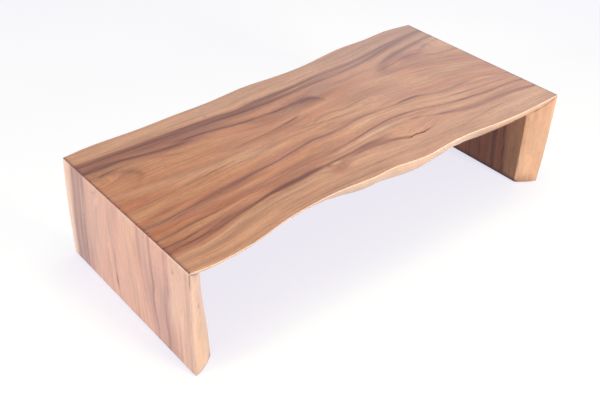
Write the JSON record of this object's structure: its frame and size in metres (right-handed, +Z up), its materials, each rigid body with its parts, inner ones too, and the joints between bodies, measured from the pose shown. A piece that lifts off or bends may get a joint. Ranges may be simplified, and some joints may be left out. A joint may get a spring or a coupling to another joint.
{
  "type": "waterfall coffee table",
  "caption": "Low coffee table of thick live-edge hardwood whose top folds down through mitred corners into slab legs, on felt floor glides.",
  "frame": {"origin": "on the floor, under the middle of the top's outline", "axes": "+X along the top, +Y from the hollowed front edge to the back edge, +Z up"},
  "size_m": [1.5, 0.7224, 0.352],
  "materials": {
    "slab_wood": "satin oil",
    "tenon_wood": "bare",
    "glide_plastic": "moulded matte",
    "glide_felt": "pressed felt",
    "screw_steel": "zinc plated"
  },
  "bodies": {
    "root": {"top_slab": "slab_wood", "left_leg": "slab_wood", "right_leg": "slab_wood", "left_mitre_tenon_1": "tenon_wood", "left_mitre_tenon_2": "tenon_wood", "left_mitre_tenon_3": "tenon_wood", "left_mitre_tenon_4": "tenon_wood", "left_mitre_tenon_5": "tenon_wood", "left_mitre_tenon_6": "tenon_wood", "right_mitre_tenon_1": "tenon_wood", "right_mitre_tenon_2": "tenon_wood", "right_mitre_tenon_3": "tenon_wood", "right_mitre_tenon_4": "tenon_wood", "right_mitre_tenon_5": "tenon_wood", "right_mitre_tenon_6": "tenon_wood", "left_front_glide_cup": "glide_plastic", "left_front_glide_felt": "glide_felt", "left_front_glide_screw": "screw_steel", "left_back_glide_cup": "glide_plastic", "left_back_glide_felt": "glide_felt", "left_back_glide_screw": "screw_steel", "right_front_glide_cup": "glide_plastic", "right_front_glide_felt": "glide_felt", "right_front_glide_screw": "screw_steel", "right_back_glide_cup": "glide_plastic", "right_back_glide_felt": "glide_felt", "right_back_glide_screw": "screw_steel"}
  },
  "joints": []
}
